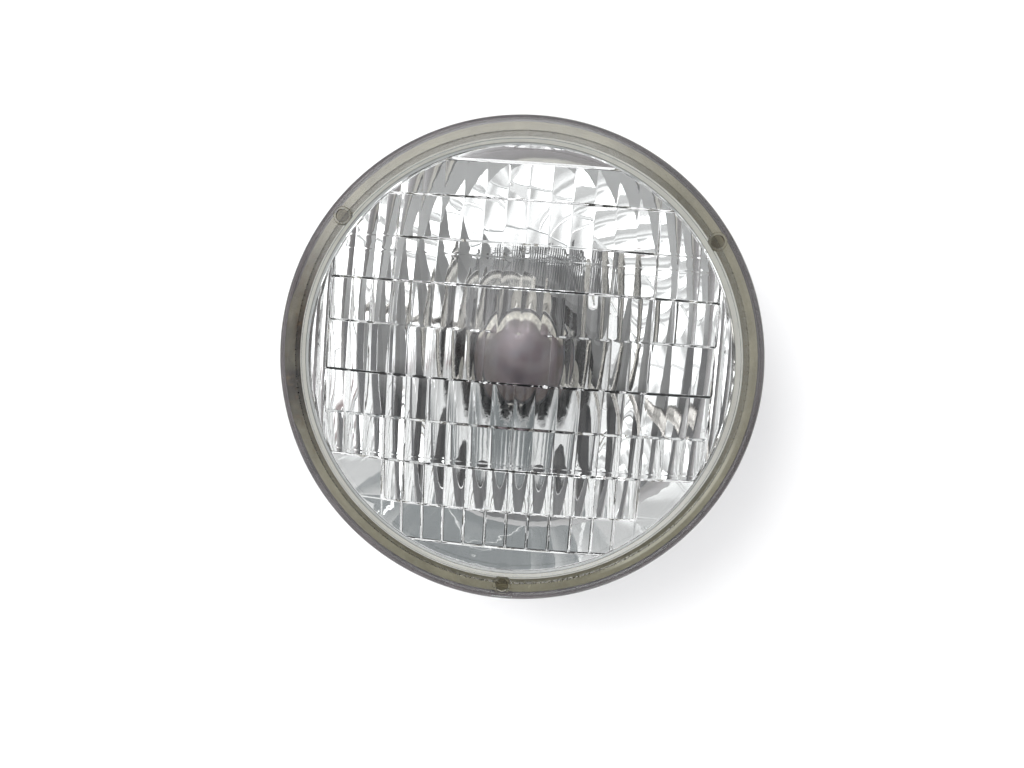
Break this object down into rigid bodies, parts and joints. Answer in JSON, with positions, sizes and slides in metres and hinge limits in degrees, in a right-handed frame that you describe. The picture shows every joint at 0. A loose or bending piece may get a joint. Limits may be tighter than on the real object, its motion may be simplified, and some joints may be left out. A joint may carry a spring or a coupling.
{
  "type": "round sealed-beam motorcycle headlight",
  "caption": "Round all-glass sealed-beam motorcycle headlight: fluted lens bonded to an aluminised bowl, with filaments, a shield and blade terminals behind.",
  "frame": {"origin": "on the optical axis, in the rear seating face of the rim", "axes": "+Z along the optical axis, out of the lens; +Y towards the top of the lamp; +X to the right as seen from the front"},
  "size_m": [0.146, 0.146, 0.0846],
  "materials": {
    "lens_glass": "clear pressed glass, polished outside, fluted inside",
    "adhesive": "khaki cured adhesive, dull, brown spots at the left",
    "reflector_mirror": "bright aluminium on pressed glass",
    "tube_glass": "clear, fire-sealed",
    "ferrule_metal": "dull nickel-iron sheet",
    "terminal_brass": "stamped, lightly tarnished",
    "solder": "soft solder, satin",
    "post_wire": "drawn nickel wire",
    "filament": "dark grey tungsten",
    "shield_metal": "heat-tinted mauve-grey sheet"
  },
  "bodies": {
    "root": {"lens": "lens_glass", "adhesive": "adhesive", "reflector": "reflector_mirror", "exhaust_tip": "tube_glass", "ferrule_top": "ferrule_metal", "ferrule_left": "ferrule_metal", "ferrule_right": "ferrule_metal", "terminal_top": "terminal_brass", "terminal_left": "terminal_brass", "terminal_right": "terminal_brass", "solder_top": "solder", "solder_left": "solder", "solder_right": "solder", "post_top": "post_wire", "post_left": "post_wire", "post_right": "post_wire", "filament_low": "filament", "filament_high": "filament", "filament_shield": "shield_metal", "shield_arm": "post_wire"}
  },
  "joints": []
}
